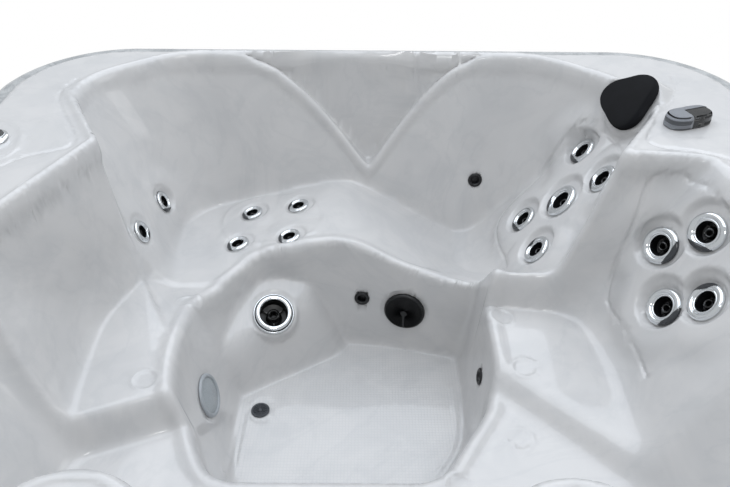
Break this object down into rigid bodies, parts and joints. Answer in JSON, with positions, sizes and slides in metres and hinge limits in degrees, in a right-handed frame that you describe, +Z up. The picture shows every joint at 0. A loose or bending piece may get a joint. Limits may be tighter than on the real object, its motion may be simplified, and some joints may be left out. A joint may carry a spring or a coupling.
{
  "type": "hot tub",
  "caption": "Square hot tub with a moulded shell of seats, a lounger and a footwell, turning jets, a head pillow, deck controls, and a panelled cabinet over its plumbing.",
  "frame": {"origin": "middle of the footprint, on the ground under the base pan", "axes": "+Z up, +X towards the lounger's head end, +Y towards the lounger's side; the side with the low front seats faces -Y"},
  "size_m": [2.13, 2.13, 0.9445],
  "materials": {
    "shell_acrylic": "gloss",
    "chromed_plastic": "polished",
    "plumbing_plastic": "satin",
    "grey_plastic": "satin",
    "black_plastic": "satin",
    "frosted_lens": "frosted",
    "pillow_foam": "matte",
    "button_rubber": "matte",
    "filter_paper": "matte",
    "cabinet_panel": "matte",
    "galvanised_steel": "satin"
  },
  "bodies": {
    "tub": {"shell": "shell_acrylic", "base_pan": "cabinet_panel", "frame": "galvanised_steel", "side_panel_left": "cabinet_panel", "side_panel_front": "cabinet_panel", "side_panel_right": "cabinet_panel", "side_panel_back": "cabinet_panel", "corner_panel_1": "cabinet_panel", "corner_panel_2": "cabinet_panel", "corner_panel_3": "cabinet_panel", "corner_panel_4": "cabinet_panel", "lounge_back_manifold": "plumbing_plastic", "calf_manifold": "plumbing_plastic", "foot_end_manifold": "plumbing_plastic", "right_seat_manifold": "plumbing_plastic", "foot_dome_jet_body": "plumbing_plastic", "outlet_footwell_back": "black_plastic", "outlet_footwell_side": "black_plastic", "outlet_lounge_wall": "black_plastic", "suction_cover": "black_plastic", "light_lens": "frosted_lens", "drain_cover": "grey_plastic", "suction_body": "plumbing_plastic", "light_housing": "plumbing_plastic", "drain_body": "plumbing_plastic", "pillow": "pillow_foam", "diverter_valve": "plumbing_plastic", "topside_panel": "chromed_plastic", "filter_housing": "plumbing_plastic", "filter_cartridge": "filter_paper", "pump_wet_end": "black_plastic", "pump_motor": "galvanised_steel", "heater_tube": "galvanised_steel", "control_box": "black_plastic", "suction_pipe": "plumbing_plastic", "supply_pipe": "plumbing_plastic", "lounge_hose": "plumbing_plastic", "seat_hose": "plumbing_plastic", "foot_hose": "plumbing_plastic"},
    "jet_face_lounge_back_1": {"jet_face_lounge_back_1": "chromed_plastic"},
    "jet_face_lounge_back_2": {"jet_face_lounge_back_2": "chromed_plastic"},
    "jet_face_lounge_back_3": {"jet_face_lounge_back_3": "chromed_plastic"},
    "jet_face_lounge_back_4": {"jet_face_lounge_back_4": "chromed_plastic"},
    "jet_face_lounge_back_5": {"jet_face_lounge_back_5": "chromed_plastic"},
    "jet_face_calf_1": {"jet_face_calf_1": "chromed_plastic"},
    "jet_face_calf_2": {"jet_face_calf_2": "chromed_plastic"},
    "jet_face_calf_3": {"jet_face_calf_3": "chromed_plastic"},
    "jet_face_calf_4": {"jet_face_calf_4": "chromed_plastic"},
    "jet_face_foot_end_1": {"jet_face_foot_end_1": "chromed_plastic"},
    "jet_face_foot_end_2": {"jet_face_foot_end_2": "chromed_plastic"},
    "jet_face_right_seat_1": {"jet_face_right_seat_1": "chromed_plastic"},
    "jet_face_right_seat_2": {"jet_face_right_seat_2": "chromed_plastic"},
    "jet_face_right_seat_3": {"jet_face_right_seat_3": "chromed_plastic"},
    "jet_face_right_seat_4": {"jet_face_right_seat_4": "chromed_plastic"},
    "jet_face_foot_dome": {"jet_face_foot_dome": "chromed_plastic"},
    "diverter_handle": {"diverter_handle": "grey_plastic"},
    "topside_button_1": {"topside_button_1": "button_rubber"},
    "topside_button_2": {"topside_button_2": "button_rubber"},
    "topside_button_3": {"topside_button_3": "button_rubber"},
    "filter_lid": {"filter_lid": "grey_plastic"}
  },
  "joints": [
    {"name": "jet_face_lounge_back_1_turn", "type": "hinge", "parent": "tub", "child": "jet_face_lounge_back_1", "pos_m": [0.62707, 0.76595, 0.69719], "axis": [-0.7718, 0.0633, 0.6327], "range_deg": [0, 90]},
    {"name": "jet_face_lounge_back_2_turn", "type": "hinge", "parent": "tub", "child": "jet_face_lounge_back_2", "pos_m": [0.63091, 0.5719, 0.72127], "axis": [-0.7718, 0.0633, 0.6327], "range_deg": [0, 90]},
    {"name": "jet_face_lounge_back_3_turn", "type": "hinge", "parent": "tub", "child": "jet_face_lounge_back_3", "pos_m": [0.54698, 0.62089, 0.61399], "axis": [-0.7718, 0.0633, 0.6327], "range_deg": [0, 90]},
    {"name": "jet_face_lounge_back_4_turn", "type": "hinge", "parent": "tub", "child": "jet_face_lounge_back_4", "pos_m": [0.46306, 0.68203, 0.50549], "axis": [-0.7718, 0.0633, 0.6327], "range_deg": [0, 90]},
    {"name": "jet_face_lounge_back_5_turn", "type": "hinge", "parent": "tub", "child": "jet_face_lounge_back_5", "pos_m": [0.46604, 0.50204, 0.52713], "axis": [-0.7718, 0.0633, 0.6327], "range_deg": [0, 90]},
    {"name": "jet_face_calf_1_turn", "type": "hinge", "parent": "tub", "child": "jet_face_calf_1", "pos_m": [-0.38404, 0.77298, 0.45618], "axis": [-0.2241, 0, 0.9746], "range_deg": [0, 90]},
    {"name": "jet_face_calf_2_turn", "type": "hinge", "parent": "tub", "child": "jet_face_calf_2", "pos_m": [-0.23409, 0.76595, 0.49067], "axis": [-0.2241, 0, 0.9746], "range_deg": [0, 90]},
    {"name": "jet_face_calf_3_turn", "type": "hinge", "parent": "tub", "child": "jet_face_calf_3", "pos_m": [-0.249, 0.6079, 0.48724], "axis": [-0.2242, 0, 0.9746], "range_deg": [0, 90]},
    {"name": "jet_face_calf_4_turn", "type": "hinge", "parent": "tub", "child": "jet_face_calf_4", "pos_m": [-0.4079, 0.61791, 0.45069], "axis": [-0.2241, 0, 0.9746], "range_deg": [0, 90]},
    {"name": "jet_face_foot_end_1_turn", "type": "hinge", "parent": "tub", "child": "jet_face_foot_end_1", "pos_m": [-0.64709, 0.72995, 0.52773], "axis": [0.9102, 0.0186, 0.4138], "range_deg": [0, 90]},
    {"name": "jet_face_foot_end_2_turn", "type": "hinge", "parent": "tub", "child": "jet_face_foot_end_2", "pos_m": [-0.65711, 0.53101, 0.55869], "axis": [0.9102, 0.0186, 0.4138], "range_deg": [0, 90]},
    {"name": "jet_face_right_seat_1_turn", "type": "hinge", "parent": "tub", "child": "jet_face_right_seat_1", "pos_m": [0.70695, 0.30097, 0.69916], "axis": [-0.7958, -0.387, 0.4657], "range_deg": [0, 90]},
    {"name": "jet_face_right_seat_2_turn", "type": "hinge", "parent": "tub", "child": "jet_face_right_seat_2", "pos_m": [0.77809, 0.25006, 0.77842], "axis": [-0.7958, -0.387, 0.4657], "range_deg": [0, 90]},
    {"name": "jet_face_right_seat_3_turn", "type": "hinge", "parent": "tub", "child": "jet_face_right_seat_3", "pos_m": [0.69992, 0.18105, 0.60429], "axis": [-0.8251, -0.1808, 0.5353], "range_deg": [0, 90]},
    {"name": "jet_face_right_seat_4_turn", "type": "hinge", "parent": "tub", "child": "jet_face_right_seat_4", "pos_m": [0.75594, 0.11992, 0.67641], "axis": [-0.8208, -0.0186, 0.5709], "range_deg": [0, 90]},
    {"name": "jet_face_foot_dome_turn", "type": "hinge", "parent": "tub", "child": "jet_face_foot_dome", "pos_m": [-0.28904, 0.43899, 0.32848], "axis": [0.1505, -0.5203, 0.8406], "range_deg": [0, 90]},
    {"name": "diverter_turn", "type": "hinge", "parent": "tub", "child": "diverter_handle", "pos_m": [0.80195, 0.55103, 0.905], "axis": [0, 0, 1], "range_deg": [0, 180]},
    {"name": "topside_button_1_press", "type": "slide", "parent": "tub", "child": "topside_button_1", "axis": [0, 0, -1], "range_m": [0, 0.0015], "stiffness_N_per_m": 1500},
    {"name": "topside_button_2_press", "type": "slide", "parent": "tub", "child": "topside_button_2", "axis": [0, 0, -1], "range_m": [0, 0.0015], "stiffness_N_per_m": 1500},
    {"name": "topside_button_3_press", "type": "slide", "parent": "tub", "child": "topside_button_3", "axis": [0, 0, -1], "range_m": [0, 0.0015], "stiffness_N_per_m": 1500},
    {"name": "filter_lid_lift", "type": "slide", "parent": "tub", "child": "filter_lid", "axis": [0, 0, 1], "range_m": [0, 0.06]}
  ]
}
